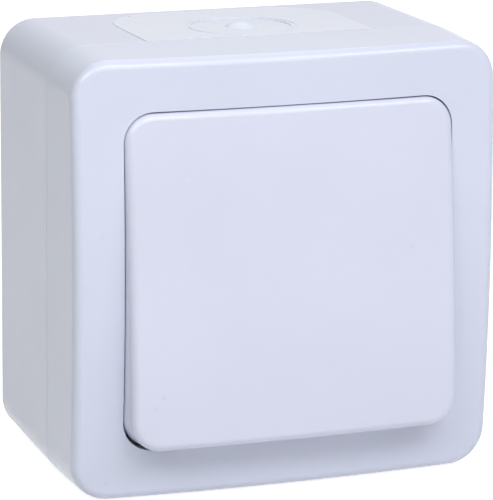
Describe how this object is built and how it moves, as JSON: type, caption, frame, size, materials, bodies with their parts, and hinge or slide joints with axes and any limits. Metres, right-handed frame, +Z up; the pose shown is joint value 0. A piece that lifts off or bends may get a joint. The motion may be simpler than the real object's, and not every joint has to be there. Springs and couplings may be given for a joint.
{
  "type": "surface mounted light switch",
  "caption": "Square splash-proof surface light switch with a two-part box, a tilting rocker key, a soft cable-entry seal on top and a two-way contact mechanism inside.",
  "frame": {"origin": "centre of the box's flat back face, on the wall plane", "axes": "+Y into the wall, -Y out to the user, +Z up, +X to the user's right"},
  "size_m": [0.073, 0.0496, 0.0735],
  "materials": {
    "shell_plastic": "smooth semi-gloss moulded",
    "key_plastic": "smooth gloss moulded",
    "entry_seal_soft": "soft satin",
    "gasket_soft": "matt",
    "mechanism_plastic": "fine matt",
    "driver_plastic": "fine matt",
    "plated_steel": "zinc plated",
    "spring_steel": "drawn wire",
    "terminal_brass": "stamped",
    "contact_silver": "pressed"
  },
  "bodies": {
    "box": {"rear_box": "shell_plastic", "cable_entry_seal": "entry_seal_soft", "cover_gasket": "gasket_soft", "front_cover": "shell_plastic", "cover_screws": "plated_steel", "mechanism_seal": "gasket_soft", "mechanism_lid": "mechanism_plastic", "mechanism_base": "mechanism_plastic", "mechanism_screws": "plated_steel", "common_terminal": "terminal_brass", "upper_terminal": "terminal_brass", "lower_terminal": "terminal_brass", "fixed_contacts": "contact_silver", "terminal_clamps": "plated_steel", "terminal_screws": "plated_steel"},
    "rocker": {"rocker_key": "key_plastic", "driver": "driver_plastic", "plunger_spring": "spring_steel"},
    "plunger_body": {"plunger": "terminal_brass"},
    "bridge": {"contact_bridge": "terminal_brass", "moving_contacts": "contact_silver"}
  },
  "joints": [
    {"name": "rocker_hinge", "type": "hinge", "parent": "box", "child": "rocker", "pos_m": [0, -0.04, 0], "axis": [1, 0, 0], "range_deg": [0, 10.8]},
    {"name": "bridge_hinge", "type": "hinge", "parent": "box", "child": "bridge", "pos_m": [0, -0.0161, 0], "axis": [1, 0, 0], "range_deg": [-16, 0]},
    {"name": "plunger_slide", "type": "slide", "parent": "rocker", "child": "plunger_body", "axis": [0, -0.9956, 0.0941], "range_m": [0, 0.0008], "stiffness_N_per_m": 400, "springref_m": -0.002, "deforming": ["plunger_spring"]}
  ],
  "couplings": [
    {"joint": "bridge_hinge", "follows": "rocker_hinge", "ratio": -1.4815}
  ]
}
